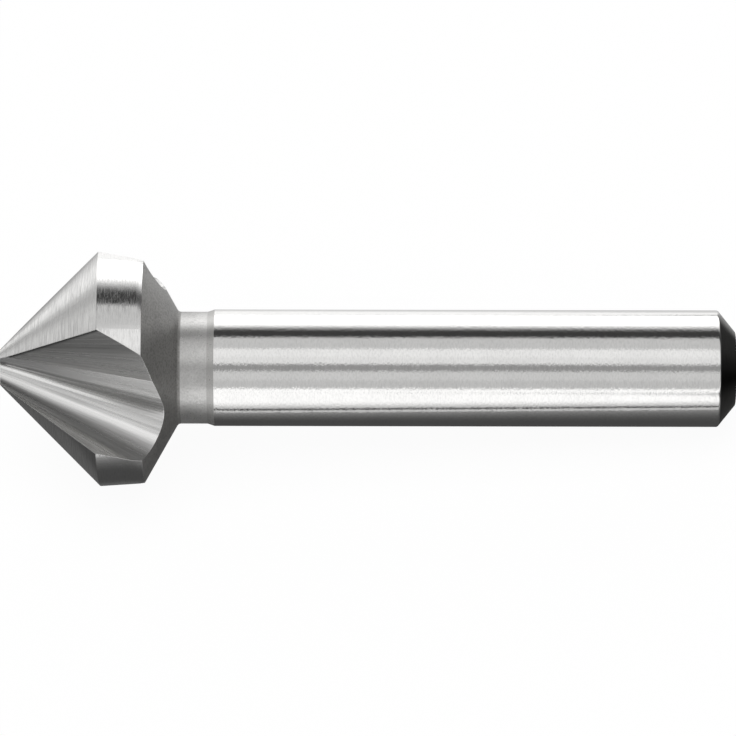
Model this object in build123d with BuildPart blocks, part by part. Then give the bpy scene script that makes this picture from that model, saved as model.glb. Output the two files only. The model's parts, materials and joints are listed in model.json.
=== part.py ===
from build123d import *
import math
import os

# Three-fluted 90 degree countersink bit with a plain round shank, in millimetres.
# It is ground from one bar: a pointed head with three cutting edges, a steep back,
# a short neck and the shank.  It is formed about the Z axis with the point at the
# origin, then laid on its side the way it comes to rest on a bench.

# ---- overall and turned sizes ----
overall_length = 63.0
head_diameter = 20.5
tip_diameter = 3.5
point_angle = 90.0  # included angle of the cutting cone
land_length = 3.92  # cylindrical part of the head behind the cone
land_taper = 3.8  # the ground land narrows at this angle towards the shank
rim_taper = 9.0  # and the turned stock under it at this one
rim_inset = 0.095  # how far the turned stock lies inside the land at its back edge
back_angle = 60.5  # slope of the back of the head, measured from the axis
neck_diameter = 9.6
neck_blend = 0.4  # radius where the back runs into the neck
neck_end = 17.8  # distance from the point to the end of the neck
shank_diameter = 10.0
shank_lead = 0.6  # length of the slope up from the neck to the full shank size
end_chamfer_length = 1.5
end_chamfer_depth = 1.85
end_edge_round = 0.25

# ---- flutes: the cross-section is given level with the point and grows steadily
# towards the shank, as if from an apex some way ahead of the point ----
flute_count = 3
flute_rise = 14.0  # the root line climbs away from the axis at this angle
flute_skew = 19.6  # and leans sideways at this one
flute_apex = 7.23  # how far ahead of the point the section would shrink to nothing
root_out = -0.45  # where the two inner walls would meet
root_side = 0.82
rake_lean = 9.9  # wall under the cutting edge, from the radial direction
floor_lean = 47.5  # inner wall on the other side of the floor
heel_lean = 54.4  # outer wall, ground flatter, that runs out under the heel
heel_step = 2.93  # distance from the root to the line where those two walls meet
floor_radius = 1.03

# ---- clearance ground behind the cutting edges ----
cone_relief = 0.285  # sideways shift of the grinding centre for the cone
land_relief = 0.08  # the same for the cylindrical land
relief_lead = 60.0  # the shift points this far ahead of the cutting edge

# ---- sizes that follow from the ones above ----
head_radius = head_diameter / 2
tip_radius = tip_diameter / 2
neck_radius = neck_diameter / 2
shank_radius = shank_diameter / 2
cone_slope = math.tan(math.radians(point_angle / 2))
land_slope = math.tan(math.radians(land_taper))
rim_slope = math.tan(math.radians(rim_taper))
back_slope = math.tan(math.radians(back_angle))
cone_length = (head_radius - tip_radius) / cone_slope
land_end = cone_length + land_length
rim_radius = head_radius - land_length * land_slope - rim_inset
stock_radius = rim_radius + land_end * rim_slope
neck_start = land_end + (rim_radius - neck_radius) / back_slope
shank_start = neck_end + shank_lead
shank_end = overall_length - end_chamfer_length
end_radius = shank_radius - end_chamfer_depth
pitch_angle = 360 / flute_count
overrun = land_length / 4  # cutting and grinding start and stop this far clear
level_gap = 0.001  # corners whose heights differ by less than this both bear

# ---- flute directions: the root line, and axes square to it for the cross-section ----
root_point = Vector(root_out, root_side, 0)
root_line = Vector(
    math.tan(math.radians(flute_rise)), math.tan(math.radians(flute_skew)), 1
).normalized()
section_out = (Vector(1, 0, 0) - root_line * root_line.X).normalized()
section_side = root_line.cross(section_out)

# The cutting edge is where the rake wall meets the cone.  This is how far round the
# axis it stands, from the middle of its flute, at the full head diameter.
lean = math.radians(rake_lean)
rake_square = section_side * math.cos(lean) - section_out * math.sin(lean)
rake_reach = rake_square.dot(root_point) - rake_square.Z * cone_length
rake_across = math.hypot(rake_square.X, rake_square.Y)
rake_facing = math.degrees(math.atan2(rake_square.Y, rake_square.X))
edge_angle = rake_facing - math.degrees(
    math.acos(rake_reach / (rake_across * head_radius))
)


def around_axis(radius, angle):
    """A point in a plan view, by its radius and its angle from the first axis."""
    turned = math.radians(angle)
    return (radius * math.cos(turned), radius * math.sin(turned))


# ---- the turned blank: oversize head, back, neck, shank and end chamfer ----
with BuildPart() as blank:
    with BuildSketch(Plane.XZ) as half_outline:
        with BuildLine():
            Polyline(
                (0, 0),
                (stock_radius, 0),
                (rim_radius, land_end),
                (neck_radius, neck_start),
                (neck_radius, neck_end),
                (shank_radius, shank_start),
                (shank_radius, shank_end),
                (end_radius, overall_length),
                (0, overall_length),
                close=True,
            )
        make_face()
        corners = half_outline.vertices()
        neck_corner = corners.sort_by_distance((neck_radius, neck_start))[0]
        fillet(neck_corner, radius=neck_blend)
        corners = half_outline.vertices()
        end_corner = corners.sort_by_distance((shank_radius, shank_end))[0]
        fillet(end_corner, radius=end_edge_round)
    revolve(axis=Axis.Z)

# ---- the ground form of one land: an off-centre cone and an off-centre barrel, both
# full size at the cutting edge and falling away behind it ----
shift_angle = edge_angle - relief_lead
lead_share = math.cos(math.radians(relief_lead))
cone_centre = around_axis(cone_relief, shift_angle)
land_centre = around_axis(land_relief, shift_angle)
cone_tip_radius = tip_radius - cone_relief * lead_share
land_tip_radius = head_radius - land_relief * lead_share + cone_length * land_slope
form_start = -overrun
form_end = land_end + overrun

with BuildPart() as ground_form:
    with BuildSketch(Plane((*cone_centre, 0), (1, 0, 0), (0, -1, 0))):
        with BuildLine():
            Polyline(
                (0, form_start),
                (cone_tip_radius + cone_slope * form_start, form_start),
                (cone_tip_radius + cone_slope * form_end, form_end),
                (0, form_end),
                close=True,
            )
        make_face()
    revolve(axis=Axis((*cone_centre, 0), (0, 0, 1)))
    with BuildSketch(Plane((*land_centre, 0), (1, 0, 0), (0, -1, 0))):
        with BuildLine():
            Polyline(
                (0, form_start),
                (land_tip_radius - land_slope * form_start, form_start),
                (land_tip_radius - land_slope * form_end, form_end),
                (0, form_end),
                close=True,
            )
        make_face()
    revolve(axis=Axis((*land_centre, 0), (0, 0, 1)), mode=Mode.INTERSECT)

# ---- what grinding one land takes off: its share of the stock, less that form ----
with BuildPart() as grinding:
    with BuildSketch(Plane.XY.offset(form_start / 2)):
        with BuildLine():
            Polyline(
                (0, 0),
                around_axis(stock_radius * 2, 0),
                around_axis(stock_radius * 4, pitch_angle / 2),
                around_axis(stock_radius * 2, pitch_angle),
                close=True,
            )
        make_face()
    extrude(amount=land_end - form_start)
    add(ground_form.part, mode=Mode.SUBTRACT)

# ---- one flute: a flat rake wall, a round floor, a short steep wall and a flatter
# one above it, all widening together towards the shank ----
flute_ends = (-flute_apex / 2, land_end + 2 * land_length)
wall_reach = head_diameter
heel_corner = around_axis(heel_step, -floor_lean)
heel_reach = around_axis(wall_reach, -heel_lean)

with BuildPart() as flute:
    for along in flute_ends:
        growth = 1 + along / flute_apex
        with BuildSketch(Plane(root_point + root_line * along, section_out, root_line)):
            with BuildLine() as walls:
                Polyline(
                    around_axis(wall_reach * growth, rake_lean),
                    (0, 0),
                    Vector(*heel_corner) * growth,
                    (Vector(*heel_corner) + Vector(*heel_reach)) * growth,
                    close=True,
                )
            make_face()
            root_corner = walls.vertices().sort_by_distance((0, 0))[0]
            fillet(root_corner, radius=floor_radius * growth)
    loft(ruled=True)

# ---- the bit, standing on its point ----
with BuildPart() as bit:
    add(blank.part)
    with PolarLocations(0, flute_count):
        add(grinding.part, mode=Mode.SUBTRACT)
    with PolarLocations(0, flute_count):
        add(flute.part, mode=Mode.SUBTRACT)

# ---- laid on its side: it rests on the edge at the end of the shank and on two
# corners of the head, one either side of a flute ----
head_corners = [
    corner
    for corner in bit.vertices()
    if math.hypot(corner.X, corner.Y) > rim_radius - overrun
    and abs(math.degrees(math.atan2(corner.Y, corner.X))) < pitch_angle / 2
]


def resting_angles(first, second):
    """Roll and pitch that bring two corners and the end of the shank down level."""
    far_first = shank_end - first.Z
    far_second = shank_end - second.Z
    along_x = far_second * first.X - far_first * second.X
    along_y = far_second * first.Y - far_first * second.Y
    share = shank_radius * (far_second - far_first) / math.hypot(along_x, along_y)
    roll = math.atan2(along_y, along_x) - math.acos(share)
    reach = first.X * math.cos(roll) + first.Y * math.sin(roll)
    return roll, math.atan2(reach - shank_radius, far_first)


def depth_below(corner, roll, pitch):
    """How far down a corner reaches once the bit is rolled and pitched."""
    reach = corner.X * math.cos(roll) + corner.Y * math.sin(roll)
    return reach * math.cos(pitch) + corner.Z * math.sin(pitch)


def carries(first, second):
    """Whether nothing else on the head would be lower than those two corners."""
    roll, pitch = resting_angles(first, second)
    lowest = depth_below(first, roll, pitch)
    return all(
        depth_below(corner, roll, pitch) < lowest + level_gap for corner in head_corners
    )


resting_pairs = [
    (first, second)
    for first in head_corners
    for second in head_corners
    if first.Y > 0 > second.Y and carries(first, second)
]
roll_down, pitch_down = resting_angles(*resting_pairs[0])
lying = Plane(
    (0, 0, 0),
    (-math.sin(pitch_down), 0, -math.cos(pitch_down)),
    (math.cos(pitch_down), 0, -math.sin(pitch_down)),
)
laid_down = lying.location * Rotation(0, 0, -math.degrees(roll_down))
extent = (laid_down * bit.part).bounding_box()
centred = Location((-extent.center().X, -extent.center().Y, -extent.min.Z))

with BuildPart() as countersink_bit:
    with Locations(centred * laid_down):
        add(bit.part)

countersink_bit.part.label = "countersink_bit"
os.makedirs("parts", exist_ok=True)
export_step(countersink_bit.part, "parts/countersink_bit.step")
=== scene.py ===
"""A three-fluted 90 degree countersink bit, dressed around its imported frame."""

import json
import logging
from collections.abc import Callable
from dataclasses import dataclass, field
from enum import Enum
from math import acos, atan2, cos, degrees, hypot, pi, radians, sin, tan

import bpy
from mathutils import Matrix, Vector


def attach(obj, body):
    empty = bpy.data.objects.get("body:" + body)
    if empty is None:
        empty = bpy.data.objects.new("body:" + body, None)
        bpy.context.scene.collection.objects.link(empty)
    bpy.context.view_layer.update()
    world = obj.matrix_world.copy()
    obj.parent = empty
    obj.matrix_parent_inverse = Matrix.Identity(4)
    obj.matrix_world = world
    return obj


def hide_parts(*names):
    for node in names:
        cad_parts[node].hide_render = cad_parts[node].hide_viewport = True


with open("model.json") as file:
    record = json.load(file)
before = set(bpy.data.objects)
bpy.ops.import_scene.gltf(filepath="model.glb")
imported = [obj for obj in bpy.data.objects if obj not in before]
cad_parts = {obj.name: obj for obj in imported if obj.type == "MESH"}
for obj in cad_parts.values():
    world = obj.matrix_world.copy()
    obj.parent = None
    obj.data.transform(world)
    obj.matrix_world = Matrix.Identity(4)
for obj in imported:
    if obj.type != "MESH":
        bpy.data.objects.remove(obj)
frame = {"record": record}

logging.basicConfig(level=logging.INFO, format="%(message)s")
log = logging.getLogger("countersink_bit")

MILLIMETRE = 0.001
FULL_TURN = 360.0
NODE = "countersink_bit"
BODY = "root"
FLUTE_TURN = "flute_turn"

SAME_POINT = 1e-4  # corners of an outline closer than this are one, in millimetres
SQUARE_ON = 0.9999  # a face looks along the axis from this much of its normal
SAME_WALL = 0.99999  # a face lies on a flat wall from this much of its normal
SORT_POINT = (0.0173, 0.0291, 0.0377)  # no two corners of the bit are as far from it

Socket = bpy.types.NodeSocket
Level = float | Socket
Face = bpy.types.MeshPolygon
Piece = bpy.types.Object
Span = tuple[float, float]

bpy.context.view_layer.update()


class Zone(Enum):
    """The separately finished surfaces of the bit, in the order of their slots."""

    TIP = 0
    CONE_LAND = 1
    ROUND_LAND = 2
    RIM = 3
    BACK = 4
    NECK = 5
    LEAD = 6
    SHANK = 7
    END_EDGE = 8
    END_CHAMFER = 9
    END_FACE = 10
    RAKE_WALL = 11
    FLOOR = 12
    INNER_WALL = 13
    HEEL_WALL = 14


FLUTE_ZONES = (Zone.RAKE_WALL, Zone.FLOOR, Zone.INNER_WALL, Zone.HEEL_WALL)


class Cut(Enum):
    """What a cutter does to the body it meets."""

    REMOVE = "DIFFERENCE"
    KEEP_COMMON = "INTERSECT"


# ---- bench helpers


def deselect_all() -> None:
    """Leaves nothing selected and nothing in edit mode."""
    if bpy.context.object is not None and bpy.context.object.mode != "OBJECT":
        bpy.ops.object.mode_set(mode="OBJECT")
    bpy.ops.object.select_all(action="DESELECT")


def pick(piece: Piece) -> None:
    """Makes a piece the only selected and active one.

    Args:
        piece: The piece to work on next.
    """
    deselect_all()
    piece.select_set(True)
    bpy.context.view_layer.objects.active = piece


def report(piece: Piece) -> None:
    """Logs a piece and how many faces it has."""
    log.info("%s: %d faces", piece.name, len(piece.data.polygons))


def polar(radius: float, angle: float) -> Vector:
    """A flat point from its distance and its angle in degrees, with no height."""
    turn = radians(angle)
    return Vector((radius * cos(turn), radius * sin(turn), 0.0))


def slope(angle: float) -> float:
    """How far a line at this angle in degrees strays for every unit along."""
    return tan(radians(angle))


@dataclass
class Pen:
    """Draws an outline in edit mode, one vertex after another.

    Attributes:
        name: Name of the new piece.
        last: Where the pen stands.
    """

    name: str
    last: Vector

    def __post_init__(self) -> None:
        """Starts the outline as a plane merged to its one middle vertex."""
        deselect_all()
        bpy.ops.mesh.primitive_plane_add(size=1, location=(0, 0, 0))
        self.piece = bpy.context.object
        self.piece.name = self.name
        bpy.ops.object.mode_set(mode="EDIT")
        bpy.ops.mesh.select_mode(type="VERT")
        bpy.ops.mesh.select_all(action="SELECT")
        bpy.ops.mesh.merge(type="CENTER")
        bpy.ops.transform.translate(value=self.last)

    def line_to(self, point: Vector) -> None:
        """Extrudes the last vertex to a new point.

        Args:
            point: The new point.
        """
        step = {"value": point - self.last}
        bpy.ops.mesh.extrude_vertices_move(TRANSFORM_OT_translate=step)
        self.last = point

    def arc(self, centre: Vector, axis: Vector, angle: float, steps: int) -> None:
        """Spins the last vertex round a centre, by so many radians, right-handed."""
        bpy.ops.mesh.spin(steps=steps, angle=-angle, center=centre, axis=axis)
        self.last = centre + Matrix.Rotation(angle, 3, axis) @ (self.last - centre)

    def fill(self) -> None:
        """Closes the outline and fills it with one face."""
        bpy.ops.mesh.select_all(action="SELECT")
        bpy.ops.mesh.edge_face_add()

    def finish(self) -> Piece:
        """Merges doubled vertices, turns the faces outwards and leaves edit mode.

        Returns:
            The finished piece.
        """
        bpy.ops.mesh.select_all(action="SELECT")
        bpy.ops.mesh.remove_doubles(threshold=SAME_POINT)
        bpy.ops.mesh.normals_make_consistent(inside=False)
        bpy.ops.object.mode_set(mode="OBJECT")
        return self.piece


def finish_material(zone: Zone) -> bpy.types.Material:
    """The material of a zone, made at its first use and dressed later."""
    name = zone.name.lower()
    return bpy.data.materials.get(name) or bpy.data.materials.new(name)


def assign_zones(piece: Piece, zone_of: Callable[[Face], Zone]) -> None:
    """Gives every face the slot number of its zone.

    Args:
        piece: A mesh piece, with no materials yet.
        zone_of: Called with a face, returns its zone.
    """
    for zone in Zone:
        piece.data.materials.append(finish_material(zone))
    for face in piece.data.polygons:
        face.material_index = zone_of(face).value


def combine(body: Piece, cutter: Piece, cut: Cut) -> None:
    """Cuts one closed mesh with another and throws the cutter away.

    Args:
        body: The piece that is kept.
        cutter: The piece that shapes it.
        cut: What the cutter does.
    """
    pick(body)
    modifier = body.modifiers.new(cutter.name, "BOOLEAN")
    modifier.operation = cut.value
    modifier.solver = "EXACT"
    modifier.object = cutter
    bpy.ops.object.modifier_apply(modifier=modifier.name)
    bpy.data.objects.remove(cutter)


def put_in_order() -> None:
    """Numbers the mesh in edit mode by distance from one point.

    Cutting leaves the numbers in a different order each time, and merging follows it.
    """
    bpy.context.scene.cursor.location = SORT_POINT
    bpy.ops.mesh.select_all(action="SELECT")
    kinds = {"VERT", "EDGE", "FACE"}
    bpy.ops.mesh.sort_elements(type="CURSOR_DISTANCE", elements=kinds)
    bpy.context.scene.cursor.location = (0, 0, 0)


def turned_copy(piece: Piece, angle: float) -> Piece:
    """A copy with its own mesh, turned about the tool axis.

    Args:
        piece: The piece to copy.
        angle: How far the copy is turned, in degrees.

    Returns:
        The copy, with the turn in its mesh.
    """
    copy = piece.copy()
    copy.data = piece.data.copy()
    bpy.context.scene.collection.objects.link(copy)
    pick(copy)
    copy.rotation_euler = (0, 0, radians(angle))
    bpy.ops.object.transform_apply(location=False, rotation=True, scale=False)
    return copy


# ---- the turned blank


@dataclass(frozen=True)
class Station:
    """A corner of a turned outline.

    Attributes:
        radius: Distance from the axis, in millimetres.
        along: Distance from the point.
        zone: The surface that leads up to this corner.
        blend: Radius that rounds the corner.
        blend_zone: The surface of that rounding.
    """

    radius: float
    along: float
    zone: Zone
    blend: float = 0.0
    blend_zone: Zone = Zone.BACK

    @property
    def place(self) -> Vector:
        """The corner in the plane of the first axis."""
        return Vector((self.radius, 0.0, self.along))


@dataclass
class TurnedSolid:
    """A closed solid of revolution about a line parallel to the tool axis.

    Attributes:
        name: Name of the piece.
        stations: Corners from the front of the axis to the back of it.
        centre: Where the turning axis crosses the plan.
        steps: Facets round the axis.
        blend_steps: Facets across a rounded corner.
    """

    name: str
    stations: list[Station]
    centre: Vector = field(default_factory=Vector)
    steps: int = 180
    blend_steps: int = 5

    def build(self) -> Piece:
        """Draws the half outline, spins it and marks its zones.

        Returns:
            The closed piece.
        """
        spans = []
        pen = Pen(self.name, self.centre + self.stations[0].place)
        for index, station in enumerate(self.stations[1:], start=1):
            if not station.blend:
                pen.line_to(self.centre + station.place)
                spans.append((station.along, station.zone))
                continue
            before = self.stations[index - 1].place
            after = self.stations[index + 1].place
            start, middle, turn = self.rounding(before, station, after)
            pen.line_to(self.centre + start)
            spans.append((start.z, station.zone))
            pen.arc(self.centre + middle, Vector((0, 1, 0)), turn, self.blend_steps)
            spans.append((pen.last.z, station.blend_zone))
        bpy.ops.mesh.select_all(action="SELECT")
        round_axis = {"center": self.centre, "axis": (0, 0, 1)}
        bpy.ops.mesh.spin(steps=self.steps, angle=2 * pi, **round_axis)
        piece = pen.finish()
        last = self.stations[-1]

        def zone_of(face: Face) -> Zone:
            """The zone of a face, by how far along it is and whether it closes the end."""
            fits = (zone for end, zone in spans if face.center.z < end + SAME_POINT)
            return last.zone if face.normal.z > SQUARE_ON else next(fits)

        assign_zones(piece, zone_of)
        return piece

    @staticmethod
    def rounding(
        before: Vector, corner: Station, after: Vector
    ) -> tuple[Vector, Vector, float]:
        """Where the rounding of a corner starts, its middle and its turn.

        Args:
            before: The corner before it.
            corner: The corner to round.
            after: The corner after it.

        Returns:
            The first tangent point, the centre and the turn in radians.
        """
        into = (corner.place - before).normalized()
        out = (after - corner.place).normalized()
        bend = into.angle(out)
        reach = corner.blend * tan(bend / 2)
        start = corner.place - into * reach
        axis = into.cross(out).normalized()
        middle = start + axis.cross(into) * corner.blend
        return start, middle, bend * (1.0 if axis.y > 0 else -1.0)


@dataclass
class Blank:
    """The bar as it comes off the lathe: oversize head, back, neck, shank and chamfer.

    Attributes are the turned sizes, in millimetres and degrees.
    """

    overall_length: float = 63.0
    head_diameter: float = 20.5
    tip_diameter: float = 3.5
    point_angle: float = 90.0
    land_length: float = 3.92
    land_taper: float = 3.8
    rim_taper: float = 9.0
    rim_inset: float = 0.095
    back_angle: float = 60.5
    neck_diameter: float = 9.6
    neck_blend: float = 0.4
    neck_end: float = 17.8
    shank_diameter: float = 10.0
    shank_lead: float = 0.6
    chamfer_length: float = 1.5
    chamfer_depth: float = 1.85
    edge_round: float = 0.25

    @property
    def cone_length(self) -> float:
        """Distance from the point to the full head size."""
        return (self.head_diameter - self.tip_diameter) / 2 / slope(self.point_angle / 2)

    @property
    def land_end(self) -> float:
        """Distance from the point to the back edge of the head."""
        return self.cone_length + self.land_length

    @property
    def rim_radius(self) -> float:
        """Radius of the turned stock at the back edge of the head."""
        drop = self.land_length * slope(self.land_taper)
        return self.head_diameter / 2 - drop - self.rim_inset

    @property
    def stock_radius(self) -> float:
        """Radius of the turned stock level with the point."""
        return self.rim_radius + self.land_end * slope(self.rim_taper)

    def build(self) -> Piece:
        """Turns the blank.

        Returns:
            The closed blank, point first along +Z.
        """
        neck = self.neck_diameter / 2
        shank = self.shank_diameter / 2
        neck_start = self.land_end + (self.rim_radius - neck) / slope(self.back_angle)
        shank_end = self.overall_length - self.chamfer_length
        end_radius = shank - self.chamfer_depth
        blend, rounding = self.neck_blend, self.edge_round
        stations = [
            Station(0, 0, Zone.TIP),
            Station(self.stock_radius, 0, Zone.TIP),
            Station(self.rim_radius, self.land_end, Zone.RIM),
            Station(neck, neck_start, Zone.BACK, blend),
            Station(neck, self.neck_end, Zone.NECK),
            Station(shank, self.neck_end + self.shank_lead, Zone.LEAD),
            Station(shank, shank_end, Zone.SHANK, rounding, Zone.END_EDGE),
            Station(end_radius, self.overall_length, Zone.END_CHAMFER),
            Station(0, self.overall_length, Zone.END_FACE),
        ]
        return TurnedSolid("blank", stations).build()


# ---- grinding


@dataclass
class Flute:
    """One flute: a section that grows steadily from an apex ahead of the point.

    Attributes are the section level with the point, in millimetres and degrees.
    """

    blank: Blank
    rise: float = 14.0
    skew: float = 19.6
    apex: float = 7.23
    root_out: float = -0.45
    root_side: float = 0.82
    rake_lean: float = 9.9
    floor_lean: float = 47.5
    heel_lean: float = 54.4
    heel_step: float = 2.93
    floor_radius: float = 1.03
    floor_steps: int = 40
    first_growth: float = 0.5

    def __post_init__(self) -> None:
        """Works out the root line and the axes square to it."""
        self.root = Vector((slope(self.rise), slope(self.skew), 1)).normalized()
        self.out = (Vector((1, 0, 0)) - self.root * self.root.x).normalized()
        self.side = self.root.cross(self.out)
        self.root_point = Vector((self.root_out, self.root_side, 0))
        self.apex_point = self.root_point - self.root * self.apex

    def floor_centre(self) -> Vector:
        """Finds the middle of the floor's arc.

        Returns:
            The point, in the section level with the point of the bit.
        """
        half = (self.rake_lean + self.floor_lean) / 2
        away = self.floor_radius / sin(radians(half))
        return polar(away, (self.rake_lean - self.floor_lean) / 2)

    def place(self, flat: Vector, growth: float) -> Vector:
        """A point of the section in space, once the section has grown this much."""
        square = self.out * flat.x + self.side * flat.y
        return self.apex_point + (self.root * self.apex + square) * growth

    def facings(self) -> dict[Zone, Vector]:
        """Works out which way the cutter's three flat walls face.

        Returns:
            The outward direction of each wall.
        """
        heel = polar(self.heel_step, -self.floor_lean)
        walls = {
            Zone.RAKE_WALL: (Vector(), self.rake_lean, 1),
            Zone.INNER_WALL: (Vector(), -self.floor_lean, -1),
            Zone.HEEL_WALL: (heel, -self.heel_lean, -1),
        }
        facings = {}
        for zone, (corner, lean, sense) in walls.items():
            run = polar(1, lean)
            up_wall = self.out * run.x + self.side * run.y
            from_apex = self.place(corner, 1) - self.apex_point
            facings[zone] = from_apex.cross(up_wall).normalized() * sense
        return facings

    def fit(self, face: Face, turn: float) -> float:
        """How well a face of the bit lies on this flute, once turned back.

        Args:
            face: The face.
            turn: Turn about the axis that would bring it to this flute.

        Returns:
            A larger number for a better fit.
        """
        back = Matrix.Rotation(turn, 3, "Z")
        normal = back @ face.normal
        from_apex = (back @ face.center - self.apex_point).normalized()
        facing = self.facings().get(Zone(face.material_index))
        if facing is None:
            return -abs(normal.dot(from_apex)) + self.root.dot(from_apex)
        return -facing.dot(normal) - abs(facing.dot(from_apex))

    def edge_angle(self) -> float:
        """How far round the axis the cutting edge stands at full head size.

        Returns:
            The angle, in degrees.
        """
        lean = radians(self.rake_lean)
        square = self.side * cos(lean) - self.out * sin(lean)
        reach = square.dot(self.root_point) - square.z * self.blank.cone_length
        across = hypot(square.x, square.y)
        facing = atan2(square.y, square.x)
        share = reach / (across * self.blank.head_diameter / 2)
        return degrees(facing - acos(share))

    def build(self) -> Piece:
        """Draws the section near the apex and grows it past the head.

        Returns:
            The closed cutter, marked with the flute's zones.
        """
        growth = self.first_growth
        reach = self.blank.head_diameter
        half = radians(self.rake_lean + self.floor_lean) / 2
        tangent = self.floor_radius / tan(half)
        heel = polar(self.heel_step, -self.floor_lean)
        pen = Pen("flute", self.place(polar(reach, self.rake_lean), growth))
        pen.line_to(self.place(polar(tangent, self.rake_lean), growth))
        centre = self.place(self.floor_centre(), growth)
        pen.arc(centre, self.root, pi - 2 * half, self.floor_steps)
        pen.line_to(self.place(heel, growth))
        pen.line_to(self.place(heel + polar(reach, -self.heel_lean), growth))
        pen.fill()
        past_head = self.blank.land_end + 2 * self.blank.land_length
        ratio = (1 + past_head / self.apex) / growth
        bpy.ops.mesh.extrude_region_move()
        bpy.ops.transform.resize(value=(ratio,) * 3, center_override=self.apex_point)
        piece = pen.finish()
        facings = self.facings()

        def zone_of(face: Face) -> Zone:
            """The zone of a cutter face, by the way it faces."""
            fits = (zone for zone, way in facings.items() if face.normal.dot(way) > SAME_WALL)
            return next(fits, Zone.FLOOR)

        assign_zones(piece, zone_of)
        return piece


@dataclass
class LandGrind:
    """What backing off one land takes away: a sector less an off-centre form.

    Attributes:
        blank: The turned sizes.
        edge_angle: Where the cutting edge stands, in degrees.
        pitch: Share of the round that one land has, in degrees.
        cone_relief: Sideways shift of the grinding centre for the cone.
        land_relief: The same for the cylindrical land.
        relief_lead: The shift points this far ahead of the cutting edge.
        spare: How far the sector reaches past its share, in the flutes, in degrees.
    """

    blank: Blank
    edge_angle: float
    pitch: float
    cone_relief: float = 0.285
    land_relief: float = 0.08
    relief_lead: float = 60.0
    spare: float = 5.0

    def form(
        self, zone: Zone, relief: float, tip: float, slope: float, over: float
    ) -> Piece:
        """An off-centre cone.

        Args:
            zone: The land that it leaves.
            relief: Sideways shift of its centre.
            tip: Its radius level with the point.
            slope: Growth of the radius along the axis.
            over: How far it reaches past both ends of the head.

        Returns:
            The closed form.
        """
        end = self.blank.land_end + over
        stations = [
            Station(0, -over, zone),
            Station(tip - slope * over, -over, zone),
            Station(tip + slope * end, end, zone),
            Station(0, end, zone),
        ]
        centre = polar(relief, self.edge_angle - self.relief_lead)
        return TurnedSolid(zone.name.lower(), stations, centre).build()

    def build(self) -> Piece:
        """Cuts the form out of the sector.

        Returns:
            The closed cutter.
        """
        blank = self.blank
        share = cos(radians(self.relief_lead))
        taper = slope(blank.land_taper)
        cone_slope = slope(blank.point_angle / 2)
        cone_tip = blank.tip_diameter / 2 - self.cone_relief * share
        land_tip = blank.head_diameter / 2 - self.land_relief * share
        land_tip += blank.cone_length * taper
        over = blank.land_length / 4
        form = self.form(Zone.CONE_LAND, self.cone_relief, cone_tip, cone_slope, over)
        # the barrel is the longer, so that the two have no end face in common
        barrel = self.form(Zone.ROUND_LAND, self.land_relief, land_tip, -taper, 2 * over)
        combine(form, barrel, Cut.KEEP_COMMON)
        reach = blank.stock_radius * 2
        low = Vector((0, 0, -over / 2))
        pen = Pen("grinding", low)
        pen.line_to(low + polar(reach, -self.spare))
        pen.line_to(low + polar(reach * 2, self.pitch / 2))
        pen.line_to(low + polar(reach, self.pitch + self.spare))
        pen.fill()
        rise = {"value": (0, 0, blank.land_end + over)}
        bpy.ops.mesh.extrude_region_move(TRANSFORM_OT_translate=rise)
        sector = pen.finish()
        assign_zones(sector, lambda face: Zone.CONE_LAND)
        combine(sector, form, Cut.REMOVE)
        return sector


# ---- the whole bit


@dataclass
class RestingPlace:
    """Where the bit lies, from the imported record's shank mounts.

    Attributes:
        overall_length: Length of the bit, in millimetres.
        roll: Angle of the first flute's middle from straight down, in degrees.
    """

    overall_length: float
    roll: float = 4.46794

    def __post_init__(self) -> None:
        """Reads the axis line and sets up the turn from tool to bench."""
        mounts = {mount["name"]: mount for mount in frame["record"]["mounts"]}
        end = mounts["shank_end"]
        self.axis = Vector(mounts["shank"]["axis"]).normalized()
        self.tip = Vector(end["pos_m"]) - self.axis * self.overall_length * MILLIMETRE
        across = Vector((0, 1, 0))
        down = across.cross(self.axis).normalized()
        roll = radians(self.roll)
        first = down * cos(roll) - across * sin(roll)
        second = down * sin(roll) + across * cos(roll)
        self.turn = Matrix((first, second, self.axis)).transposed()

    def lay(self, piece: Piece) -> None:
        """Moves a piece from the tool's millimetres to the bench.

        Args:
            piece: The piece.
        """
        pick(piece)
        scaled = self.turn.to_4x4() @ Matrix.Scale(MILLIMETRE, 4)
        piece.matrix_world = Matrix.Translation(self.tip) @ scaled
        bpy.ops.object.transform_apply(location=True, rotation=True, scale=True)


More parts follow.
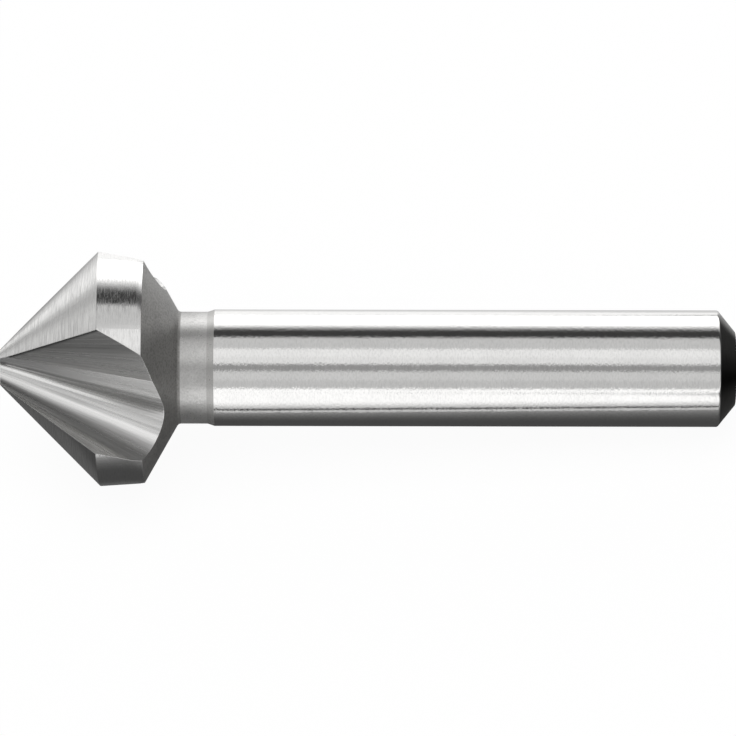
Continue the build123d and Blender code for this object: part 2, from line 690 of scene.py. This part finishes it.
@dataclass
class CountersinkBit:
    """The ground bit, as one closed piece.

    Attributes:
        blank: The turned blank.
        flute_count: Flutes and lands round the head.
        keen_edge: Width of the fine rounding on every sharp edge, in millimetres.
        keen_angle: Edges sharper than this are rounded, in degrees.
        keen_steps: Facets across that rounding.
        flat_weight: How far the larger of two faces leads in the smoothing, of 100.
        merge_gap: Vertices closer than this are one, in millimetres.
        flat_angle: Faces this level with each other are one, in degrees.
    """

    blank: Blank = field(default_factory=Blank)
    flute_count: int = 3
    keen_edge: float = 0.03
    keen_angle: float = 25.0
    keen_steps: int = 2
    flat_weight: int = 80
    merge_gap: float = 0.03
    flat_angle: float = 0.05

    def clean(self, bit: Piece) -> None:
        """Merges the slivers that grinding leaves and joins flat faces.

        Args:
            bit: The ground bit.
        """
        pick(bit)
        bpy.ops.object.mode_set(mode="EDIT")
        put_in_order()
        bpy.ops.mesh.remove_doubles(threshold=self.merge_gap)
        put_in_order()
        level = radians(self.flat_angle)
        bpy.ops.mesh.dissolve_limited(angle_limit=level, delimit={"MATERIAL"})
        put_in_order()
        bpy.ops.object.mode_set(mode="OBJECT")

    def break_edges(self, bit: Piece) -> None:
        """Rounds the sharp edges by a hair and smooths what is left.

        Args:
            bit: The cleaned bit.
        """
        pick(bit)
        edges = bit.modifiers.new("keen_edges", "BEVEL")
        edges.width = self.keen_edge
        edges.segments = self.keen_steps
        edges.limit_method = "ANGLE"
        edges.angle_limit = radians(self.keen_angle)
        edges.use_clamp_overlap = False
        bpy.ops.object.modifier_apply(modifier=edges.name)
        bpy.ops.object.shade_smooth()
        normals = bit.modifiers.new("even_normals", "WEIGHTED_NORMAL")
        normals.mode = "FACE_AREA"
        normals.weight = self.flat_weight
        bpy.ops.object.modifier_apply(modifier=normals.name)

    def build(self) -> Piece:
        """Turns the blank, backs off the lands and grinds the flutes.

        Returns:
            The piece in its place.
        """
        bit = self.blank.build()
        report(bit)
        bit.name = "ground_bit"
        flute = Flute(self.blank)
        pitch = FULL_TURN / self.flute_count
        grinding = LandGrind(self.blank, flute.edge_angle(), pitch).build()
        report(grinding)
        cutter = flute.build()
        report(cutter)
        for tool in (grinding, cutter):
            for index in range(self.flute_count):
                combine(bit, turned_copy(tool, index * pitch), Cut.REMOVE)
            bpy.data.objects.remove(tool)
        self.clean(bit)
        self.break_edges(bit)
        report(bit)
        return bit


# ---- finishes

SMOOTH = {"interpolation_type": "SMOOTHSTEP", "clamp": True}


@dataclass
class Wiring:
    """Adds nodes to one tree and joins them.

    Attributes:
        tree: The node tree being wired.
    """

    tree: bpy.types.NodeTree

    def node(self, kind: str, inputs: dict | None = None, **settings) -> bpy.types.Node:
        """Adds a node.

        Args:
            kind: Its type name, without the ShaderNode that every one starts with.
            inputs: Values or sockets by the name or number of the input.
            **settings: The node's own properties.

        Returns:
            The node.
        """
        node = self.tree.nodes.new("ShaderNode" + kind)
        for name, value in settings.items():
            setattr(node, name, value)
        for name, value in (inputs or {}).items():
            if isinstance(value, Socket):
                self.tree.links.new(value, node.inputs[name])
            else:
                node.inputs[name].default_value = value
        return node

    def sum_of(self, operation: str, first: Level, second: Level = 0.0) -> Socket:
        """Adds a Math node and returns its result."""
        return self.node("Math", {0: first, 1: second}, operation=operation).outputs[0]

    def vector(
        self, operation: str, first: Socket, second: tuple | Vector | Socket = (0, 0, 0)
    ) -> bpy.types.Node:
        """Adds a Vector Math node and returns it."""
        return self.node("VectorMath", {0: first, 1: second}, operation=operation)

    def point(self, x: Level, y: Level, z: Level) -> Socket:
        """Joins three values into a vector."""
        return self.node("CombineXYZ", {"X": x, "Y": y, "Z": z}).outputs[0]

    def noise(self, place: Socket, **inputs: float) -> Socket:
        """The level of a noise of unit size, looked up at a place."""
        return self.node("TexNoise", {"Vector": place, "Scale": 1.0} | inputs).outputs["Fac"]

    def glow(self, strength: Level) -> Socket:
        """A plain white light."""
        white = {"Color": (1, 1, 1, 1), "Strength": strength}
        return self.node("Emission", white).outputs[0]

    def ramp(self, value: Socket, start: float, end: float, low: float, high: float) -> Socket:
        """Maps a range smoothly onto another, low up to start and high from end on."""
        inputs = {"Value": value, 1: start, 2: end, 3: low, 4: high}
        return self.node("MapRange", inputs, **SMOOTH).outputs["Result"]

    def band(
        self, value: Socket, start: float, full: float, last: float, end: float, level: float
    ) -> Socket:
        """A level that comes between start and full and goes between last and end."""
        rise = self.ramp(value, start, full, 0.0, level)
        return self.sum_of("MULTIPLY", rise, self.ramp(value, last, end, 1.0, 0.0))

    def without(self, share: Socket, lost: Socket) -> Socket:
        """A share, less a part of it."""
        return self.sum_of("MULTIPLY", share, self.sum_of("SUBTRACT", 1.0, lost))


MARK_NOISE = {"Detail": 3.0, "Roughness": 0.6}
MARK_TONES = (0.3, 0.6)  # levels of that noise between which the colour clears
MARK_GLOSS = (0.3, 0.7)  # and between which the gloss rises
CLOUD_NOISE = {"Detail": 2.0}
CLOUD_TONES = (0.35, 0.65)
CLOUD_SIZE = 3.0  # millimetres to one broad patch
BROAD_FINE = 3.0  # broad streaks to a millimetre of a flute's section
BROAD_SLOWER = 0.3  # they change this much slower along the flute
TIP_REACH = (9.0, 20.0)  # ahead of the apex, where the painted shade at the point end of a flute clears
RIM_REACH = (0.0, 0.08, 0.3, 0.65)  # below the cone, where the darker strip along its edge lies
DARKEST_SHARE = 0.02  # of the colour, where the marks, the broad variation and the painted shade are whole
WARMTH = (0.0, 0.005, 0.015)  # what green and blue lack beside red


class Marks(Enum):
    """How the tool marks of a finish run."""

    AROUND = "round the axis"
    FANNED = "out of the flute's apex"


@dataclass(frozen=True)
class PaintedShadeStripe:
    """A stripe of painted shade that runs the length of a flute and is darker than the rest.

    Its place is an angle round the middle of the floor's arc, in degrees, from the
    rake wall at about 100 to the inner wall at 222 and the heel wall beyond 265.

    Attributes:
        reach: Where it shows, is at its dullest, begins to fade and is gone.
        shade: Share of the colour that is left at its dullest.
    """

    reach: tuple[float, ...]
    shade: float


@dataclass(frozen=True)
class SteelFinish:
    """One finish of the steel, with its grain, colour and wear.

    Attributes:
        tone: Linear red of the bright metal.
        roughness: Middle roughness.
        swing: How far the roughness varies.
        marks: The way the tool marks run.
        fine: Tool marks to a millimetre.
        along: The same, the long way of the marks.
        depth: Depth of the marks, in millimetres.
        shade: Darkest share of the colour in the marks.
        blotch_shade: Darkest share of the colour in the broad variation.
        metallic: Share of bare metal.
        shade_stripes: Stripes of painted shade along the flute.
        tip_shade: Share of the colour that is left at the point end of a flute, a painted
            shade.
        rim_darkening: Share of the colour that is left in a darker strip along the edge of the
            cone.
    """

    tone: float
    roughness: float
    swing: float = 0.04
    marks: Marks = Marks.AROUND
    fine: float = 10.0
    along: float = 1.5
    depth: float = 0.001
    shade: float = 0.9
    blotch_shade: float = 0.95
    metallic: float = 1.0
    shade_stripes: tuple[PaintedShadeStripe, ...] = ()
    tip_shade: float = 1.0
    rim_darkening: float = 1.0

    @staticmethod
    def tool_point(wiring: Wiring, place: RestingPlace) -> Socket:
        """Points in the tool's millimetres.

        Args:
            wiring: The material's tree.
            place: Where the bit lies.

        Returns:
            The points, measured from the tip along and round the axis.
        """
        inputs = {
            "Vector": wiring.node("TexCoord").outputs["Object"],
            "Location": place.tip,
            "Rotation": place.turn.to_euler(),
            "Scale": (MILLIMETRE,) * 3,
        }
        return wiring.node("Mapping", inputs, vector_type="TEXTURE").outputs[0]

    @staticmethod
    def fan_point(wiring: Wiring, tool: Socket, flute: Flute) -> tuple[Socket, Socket]:
        """Points of a flute, as its own section sees them.

        Args:
            wiring: The material's tree.
            tool: Points in the tool's millimetres.
            flute: The flute.

        Returns:
            Their places in its section, and their distances from its apex.
        """
        turned = wiring.node("Attribute", attribute_name=FLUTE_TURN).outputs["Fac"]
        inputs = {"Vector": tool, "Angle": wiring.sum_of("MULTIPLY", turned, -1.0)}
        own = wiring.node("VectorRotate", inputs, rotation_type="Z_AXIS").outputs[0]
        from_apex = wiring.vector("SUBTRACT", own, flute.apex_point).outputs[0]
        ahead, out, side = (
            wiring.vector("DOT_PRODUCT", from_apex, axis).outputs["Value"]
            for axis in (flute.root, flute.out, flute.side)
        )
        growth = wiring.sum_of("DIVIDE", ahead, flute.apex)
        flat = (wiring.sum_of("DIVIDE", value, growth) for value in (out, side))
        return wiring.point(*flat, 0.0), ahead

    def painted_shade_and_rim(
        self, wiring: Wiring, tool: Socket, flat: Socket, ahead: Socket, flute: Flute
    ) -> Socket:
        """The share of the colour that a flute's painted shade and the darker strip along the
        cone's edge leave.

        Args:
            wiring: The material's tree.
            tool: Points in the tool's millimetres.
            flat: Their places in the flute's section.
            ahead: Their distances from its apex.
            flute: The flute.

        Returns:
            The share.
        """
        off = wiring.vector("SUBTRACT", flat, flute.floor_centre()).outputs[0]
        out, side, _ = wiring.node("SeparateXYZ", {0: off}).outputs
        angle = wiring.sum_of("DEGREES", wiring.sum_of("ARCTAN2", side, out))
        angle = wiring.sum_of("FLOORED_MODULO", angle, FULL_TURN)
        share = wiring.ramp(ahead, *TIP_REACH, self.tip_shade, 1.0)
        # painted shade: each stripe darkens a band of the flute where it mirrors dark
        # surroundings
        for shade_stripe in self.shade_stripes:
            share = wiring.without(share, wiring.band(angle, *shade_stripe.reach, 1 - shade_stripe.shade))
        x, y, z = wiring.node("SeparateXYZ", {0: tool}).outputs
        radius = wiring.vector("LENGTH", wiring.point(x, y, 0.0)).outputs["Value"]
        cone = wiring.sum_of("ADD", z, flute.blank.tip_diameter / 2)
        below = wiring.sum_of("SUBTRACT", cone, radius)
        return wiring.without(share, wiring.band(below, *RIM_REACH, 1 - self.rim_darkening))

    def grain(
        self, wiring: Wiring, tool: Socket, flute: Flute
    ) -> tuple[Socket, Socket, Level]:
        """Where the marks and the broad variation are looked up.

        Args:
            wiring: The material's tree.
            tool: Points in the tool's millimetres.
            flute: The flute whose marks fan out.

        Returns:
            The two places, and the share of the colour that painted shade and the rim's darker
            strip leave.
        """
        if self.marks is Marks.AROUND:
            stretch = (self.along, self.along, self.fine)
            stretched = wiring.vector("MULTIPLY", tool, stretch).outputs[0]
            wide = wiring.vector("MULTIPLY", tool, (1 / CLOUD_SIZE,) * 3).outputs[0]
            return stretched, wide, 1.0
        flat, ahead = self.fan_point(wiring, tool, flute)
        slow = wiring.sum_of("MULTIPLY", ahead, self.along)
        lengthways = wiring.point(0.0, 0.0, slow)
        fine = wiring.vector("MULTIPLY", flat, (self.fine,) * 3).outputs[0]
        stretched = wiring.vector("ADD", fine, lengthways).outputs[0]
        broad = wiring.vector("MULTIPLY", flat, (BROAD_FINE,) * 3).outputs[0]
        slower = wiring.vector("MULTIPLY", lengthways, (BROAD_SLOWER,) * 3).outputs[0]
        wide = wiring.vector("ADD", broad, slower).outputs[0]
        return stretched, wide, self.painted_shade_and_rim(wiring, tool, flat, ahead, flute)

    def dress(self, material: bpy.types.Material, place: RestingPlace, flute: Flute) -> None:
        """Wires the finish into a material.

        Args:
            material: The material to dress.
            place: Where the bit lies.
            flute: The flute whose marks fan out.
        """
        material.use_nodes = True
        wiring = Wiring(material.node_tree)
        shader = material.node_tree.nodes["Principled BSDF"]
        tool = self.tool_point(wiring, place)
        stretched, wide, share = self.grain(wiring, tool, flute)
        marks = wiring.noise(stretched, **MARK_NOISE)
        cloudy = wiring.noise(wide, **CLOUD_NOISE)
        clear = wiring.ramp(marks, *MARK_TONES, self.shade, 1.0)
        cloud = wiring.ramp(cloudy, *CLOUD_TONES, self.blotch_shade, 1.0)
        level = wiring.sum_of("MULTIPLY", wiring.sum_of("MULTIPLY", clear, cloud), share)
        bright = [self.tone - less for less in WARMTH]
        darkest_colour = [value * DARKEST_SHARE for value in bright]
        inputs = {"Factor": level, 6: (*darkest_colour, 1.0), 7: (*bright, 1.0)}
        colour = wiring.node("Mix", inputs, data_type="RGBA").outputs[2]
        low, high = self.roughness + self.swing, self.roughness - self.swing
        gloss = wiring.ramp(marks, *MARK_GLOSS, low, high)
        inputs = {"Height": marks, "Strength": 1.0, "Distance": self.depth * MILLIMETRE}
        bump = wiring.node("Bump", inputs).outputs["Normal"]
        surface = {"Base Color": colour, "Roughness": gloss, "Normal": bump}
        for name, socket in surface.items():
            material.node_tree.links.new(socket, shader.inputs[name])
        shader.inputs["Metallic"].default_value = self.metallic


STEEL = 0.85
FANNED = {"marks": Marks.FANNED, "depth": 0.002}
DULLED = {"shade": 0.72, "blotch_shade": 0.8}
FINISHES = {
    Zone.TIP: SteelFinish(STEEL, 0.3),
    Zone.CONE_LAND: SteelFinish(0.79, 0.2, fine=16, along=0.5, depth=0.0015, shade=0.8),
    Zone.ROUND_LAND: SteelFinish(STEEL, 0.16, swing=0.1, fine=11, along=1.2, depth=0.006),
    Zone.RIM: SteelFinish(STEEL, 0.2, fine=8, along=0.6),
    Zone.BACK: SteelFinish(
        0.3, 0.36, fine=7, along=5, depth=0.012, shade=0.7, blotch_shade=0.88, metallic=0.6
    ),
    Zone.NECK: SteelFinish(
        0.59, 0.31, fine=6, along=5, depth=0.01, shade=0.82, blotch_shade=0.85, metallic=0.76
    ),
    Zone.LEAD: SteelFinish(0.44, 0.31, fine=9, along=6, depth=0.002, metallic=0.7),
    Zone.SHANK: SteelFinish(
        STEEL, 0.07, swing=0.03, fine=8, along=3, depth=0.014, shade=0.93, blotch_shade=0.97
    ),
    Zone.END_EDGE: SteelFinish(STEEL, 0.12),
    Zone.END_CHAMFER: SteelFinish(0.27, 0.18, fine=9, along=1.2, depth=0.004, shade=0.8),
    Zone.END_FACE: SteelFinish(0.3, 0.24, fine=9, along=1.2, depth=0.004, shade=0.8),
    # the flute walls are one ground steel: the darker rake wall and heel wall and the brighter
    # floor and inner wall are painted shade and painted light
    Zone.RAKE_WALL: SteelFinish(
        0.46, 0.27, fine=9, along=0.12, shade=0.7, blotch_shade=0.75, **FANNED
    ),
    Zone.FLOOR: SteelFinish(
        0.97, 0.28, fine=6, along=0.08, **DULLED, **FANNED,
        shade_stripes=(
            PaintedShadeStripe((-1, 0, 122, 170), 0.38),
            PaintedShadeStripe((176, 192, 206, 214), 0.78),
            PaintedShadeStripe((217, 226, 232, 240), 0.75),
        ),
    ),
    Zone.INNER_WALL: SteelFinish(
        0.97, 0.25, fine=9, along=0.12, shade=0.85, blotch_shade=0.9, **FANNED,
        tip_shade=0.42, metallic=0.55, shade_stripes=(PaintedShadeStripe((217, 225, 231, 237), 0.55),),
    ),
    Zone.HEEL_WALL: SteelFinish(
        0.76, 0.3, fine=8, along=0.12, **DULLED, **FANNED,
        rim_darkening=0.2, shade_stripes=(PaintedShadeStripe((276, 290, 400, 401), 0.4),),
    ),
}


# ---- the studio


@dataclass(frozen=True)
class Panel:
    """A long soft panel above the bench, running the same way as the bit.

    Angles are in degrees: up from the front horizon, over the top, to 180 at the back.

    Attributes:
        low: Where it starts.
        high: Where it ends.
        level: How bright it is.
        low_soft: Width of its lower edge.
        high_soft: Width of its upper edge.
        left: How far it reaches to the left of square.
        right: How far it reaches to the right of square.
        side_soft: Width of its ends.
    """

    low: float
    high: float
    level: float
    low_soft: float = 2.0
    high_soft: float = 2.0
    left: float = 80.0
    right: float = 60.0
    side_soft: float = 10.0

    def shine(self, wiring: Wiring, height: Socket, side: Socket) -> Socket:
        """How bright the panel is in a direction.

        Args:
            wiring: The world's tree.
            height: The direction's angle up and over.
            side: Its angle from square, to the right.

        Returns:
            The level.
        """
        low, high, soft = self.low_soft / 2, self.high_soft / 2, self.side_soft
        reach = (self.low - low, self.low + low, self.high - high, self.high + high)
        ends = (-self.left, soft - self.left, self.right - soft, self.right)
        lit = wiring.band(height, *reach, self.level)
        return wiring.sum_of("MULTIPLY", lit, wiring.band(side, *ends, 1.0))


@dataclass
class Studio:
    """The bench, and the panels and the lamp above it.

    Distances on the bench are in millimetres, along X and away from the bit.

    Attributes:
        panels: The panels.
        dim: Level of the room between them.
        floor_size: Side of the bench, in metres.
        floor_level: Its matt colour, a plain grey.
        under_level: Level of the mirrored bench right under the bit, a painted shadow.
        head_shade: Where that dark widens for the head.
        point_shade: Where it narrows again.
        point_share: Share of the widening left at the point.
        shade_width: The widening.
        behind_shade: How many times as wide it is behind.
        bench_glow: Where each further level starts and is whole, and its size.
        glow_end: Where the bench darkens past the shank.
        end_share: Share of the level left there.
        shadow_share: Share of the shadow that shows.
        key_power: Power of the lamp, in watts.
        key_size: Its side, in metres.
        key_height: Its height, in metres.
    """

    panels: tuple[Panel, ...] = (
        Panel(-60, 8, 1.15),
        Panel(8, 25, 0.54),
        Panel(25, 43.5, 0.62),
        Panel(43.5, 57, 0.28),
        Panel(57, 71, 0.80),
        Panel(71, 88, 0.88),
        Panel(88, 113, 0.57),
        Panel(142, 240, 1.1, low_soft=30, left=42, right=38, side_soft=12),
        Panel(142, 168, 0.85, low_soft=30, high_soft=12, left=89, right=38),
        Panel(168, 240, 0.3, low_soft=12, left=89, right=38),
    )
    dim: float = 0.05
    floor_size: float = 4.0
    floor_level: float = 0.93
    under_level: float = 0.068
    head_shade: Span = (-13.0, -22.0)
    point_shade: Span = (-33.0, -42.0)
    point_share: float = 0.35
    shade_width: float = 7.0
    behind_shade: float = 3.2
    bench_glow: tuple[tuple[float, float, float], ...] = (
        (-5.0, -28.0, 1.12),
        (-11.6, -12.0, 0.35),
        # a thin painted dark line on the bench, seen only in reflections
        (-13.3, -13.7, -0.8),
        (-15.1, -15.5, 0.45),
        (-2.0, 4.0, 0.2),
        (4.0, 22.0, 0.45),
        (20.0, 50.0, 0.4),
    )
    glow_end: Span = (33.0, 46.0)
    end_share: float = 0.1
    shadow_share: float = 0.05
    key_power: float = 1.9
    key_size: float = 0.5
    key_height: float = 0.6

    def light(self) -> None:
        """Paints the panels round the bench; the camera sees plain white instead."""
        world = bpy.data.worlds.new("studio")
        bpy.context.scene.world = world
        world.use_nodes = True
        wiring = Wiring(world.node_tree)
        direction = wiring.node("TexCoord").outputs["Generated"]
        x, y, z = wiring.node("SeparateXYZ", {0: direction}).outputs
        front = wiring.sum_of("MULTIPLY", y, -1.0)
        height = wiring.sum_of("DEGREES", wiring.sum_of("ARCTAN2", z, front))
        side = wiring.sum_of("DEGREES", wiring.sum_of("ARCSINE", x))
        total = self.dim
        for panel in self.panels:
            total = wiring.sum_of("ADD", panel.shine(wiring, height, side), total)
        inputs = {0: wiring.node("LightPath").outputs["Is Camera Ray"], 2: total, 3: 1.0}
        strength = wiring.node("Mix", inputs, data_type="FLOAT").outputs[0]
        background = world.node_tree.nodes["Background"]
        background.inputs["Color"].default_value = (1, 1, 1, 1)
        world.node_tree.links.new(strength, background.inputs["Strength"])

    def hang_lamp(self) -> None:
        """Hangs the key lamp, which polished faces do not mirror."""
        bpy.ops.object.light_add(type="AREA", location=(0, 0, self.key_height))
        key = bpy.context.object
        key.name = "key_lamp"
        key.data.energy = self.key_power
        key.data.size = self.key_size
        key.visible_glossy = False

    def mirrored_level(self, wiring: Wiring) -> Socket:
        """How bright the bench is where the steel mirrors it: a painted glow, dark under the
        bit as a painted shadow, with a thin painted dark line in front of it.

        Args:
            wiring: The bench's tree.

        Returns:
            The level.
        """
        place = wiring.node("TexCoord").outputs["Object"]
        scaled = wiring.vector("MULTIPLY", place, (1 / MILLIMETRE,) * 3).outputs[0]
        x, y, _ = wiring.node("SeparateXYZ", {0: scaled}).outputs
        wider = wiring.ramp(x, *self.head_shade, 0.0, self.shade_width)
        narrowed = wiring.ramp(x, *self.point_shade, 1.0, self.point_share)
        behind = wiring.sum_of("GREATER_THAN", y, 0.0)
        inputs = {0: behind, 2: narrowed, 3: self.behind_shade}
        spread = wiring.node("Mix", inputs, data_type="FLOAT").outputs[0]
        wider = wiring.sum_of("MULTIPLY", wider, spread)
        away = wiring.sum_of("SUBTRACT", wiring.sum_of("ABSOLUTE", y), wider)
        away = wiring.sum_of("MAXIMUM", away, 0.0)
        across = wiring.sum_of("MULTIPLY", away, wiring.sum_of("SIGN", y))
        level = self.under_level
        for start, end, rise in self.bench_glow:
            level = wiring.sum_of("ADD", wiring.ramp(across, start, end, 0, rise), level)
        fade = wiring.ramp(x, *self.glow_end, 1.0, self.end_share)
        return wiring.sum_of("MULTIPLY", level, fade)

    def lay_floor(self) -> None:
        """Lays a pale bench that stays white and keeps a light shadow."""
        deselect_all()
        bpy.ops.mesh.primitive_plane_add(size=self.floor_size, location=(0, 0, 0))
        floor = bpy.context.object
        floor.name = "bench"
        material = bpy.data.materials.new("white_bench")
        material.use_nodes = True
        material.node_tree.nodes.clear()
        wiring = Wiring(material.node_tree)
        grey = (*(self.floor_level,) * 3, 1)
        matt = wiring.node("BsdfDiffuse", {"Color": grey}).outputs[0]
        rays = wiring.node("LightPath").outputs
        share = wiring.sum_of("MULTIPLY", rays["Is Camera Ray"], 1 - self.shadow_share)
        seen = wiring.node("MixShader", {0: share, 1: matt, 2: wiring.glow(1.0)}).outputs[0]
        mirrored = wiring.glow(self.mirrored_level(wiring))
        inputs = {0: rays["Is Glossy Ray"], 1: seen, 2: mirrored}
        mixed = wiring.node("MixShader", inputs).outputs[0]
        wiring.node("OutputMaterial", {"Surface": mixed})
        floor.data.materials.append(material)


@dataclass
class Camera:
    """A long lens on the axis of the bit, square to it and above.

    Attributes:
        elevation: Degrees above the bench, in the plane square to the axis.
        distance: From the axis, in metres.
        aim_along: Where it aims, from the point along the axis, in millimetres.
        roll: How far the axis falls to the right in the view, in degrees.
        lens: Focal length, in millimetres.
        sensor: Width of the sensor, in millimetres.
        clip: Distances between which things are seen, in metres.
    """

    elevation: float = 49.73
    distance: float = 0.4805
    aim_along: float = 31.54
    roll: float = 0.12
    lens: float = 273.9
    sensor: float = 36.0
    clip: Span = (0.01, 20.0)

    def build(self, place: RestingPlace) -> None:
        """Sets the camera up over the bit.

        Args:
            place: Where the bit lies.
        """
        bpy.ops.object.camera_add()
        camera = bpy.context.object
        camera.name = "camera"
        bpy.context.scene.camera = camera
        level = Vector((0, -1, 0))
        square = (Vector((0, 0, 1)) - place.axis * place.axis.z).normalized()
        angle = radians(self.elevation)
        back = level * cos(angle) + square * sin(angle)
        roll = radians(self.roll)
        right = place.axis * cos(roll) + back.cross(place.axis) * sin(roll)
        turn = Matrix((right, back.cross(right), back)).transposed().to_4x4()
        aim = place.tip + place.axis * self.aim_along * MILLIMETRE
        camera.matrix_world = Matrix.Translation(aim + back * self.distance) @ turn
        camera.data.sensor_width = self.sensor
        camera.data.lens = self.lens
        camera.data.clip_start, camera.data.clip_end = self.clip


def mark_flutes(piece: Piece, flute: Flute, count: int) -> None:
    """Writes on every face how far round its flute stands, for the fanned marks.

    Args:
        piece: The bit, in the tool's millimetres.
        flute: The first flute.
        count: Flutes round the head.
    """
    turns = piece.data.attributes.new(FLUTE_TURN, "FLOAT", "FACE")
    step = 2 * pi / count
    for face in piece.data.polygons:
        if Zone(face.material_index) in FLUTE_ZONES:
            best = max(range(count), key=lambda k: flute.fit(face, -k * step))
            turns.data[face.index].value = best * step


def main() -> None:
    """Builds, dresses and lights the bit."""
    bit = CountersinkBit()
    piece = bit.build()
    place = RestingPlace(bit.blank.overall_length)
    flute = Flute(bit.blank)
    mark_flutes(piece, flute, bit.flute_count)
    place.lay(piece)
    for zone, finish in FINISHES.items():
        finish.dress(finish_material(zone), place, flute)
    log.info("finishes: %d", len(FINISHES))
    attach(piece, BODY)
    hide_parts(NODE)
    studio = Studio()
    studio.lay_floor()
    studio.light()
    studio.hang_lamp()
    Camera().build(place)
    bpy.context.scene.view_settings.view_transform = "Standard"


if __name__ == "__main__":
    main()
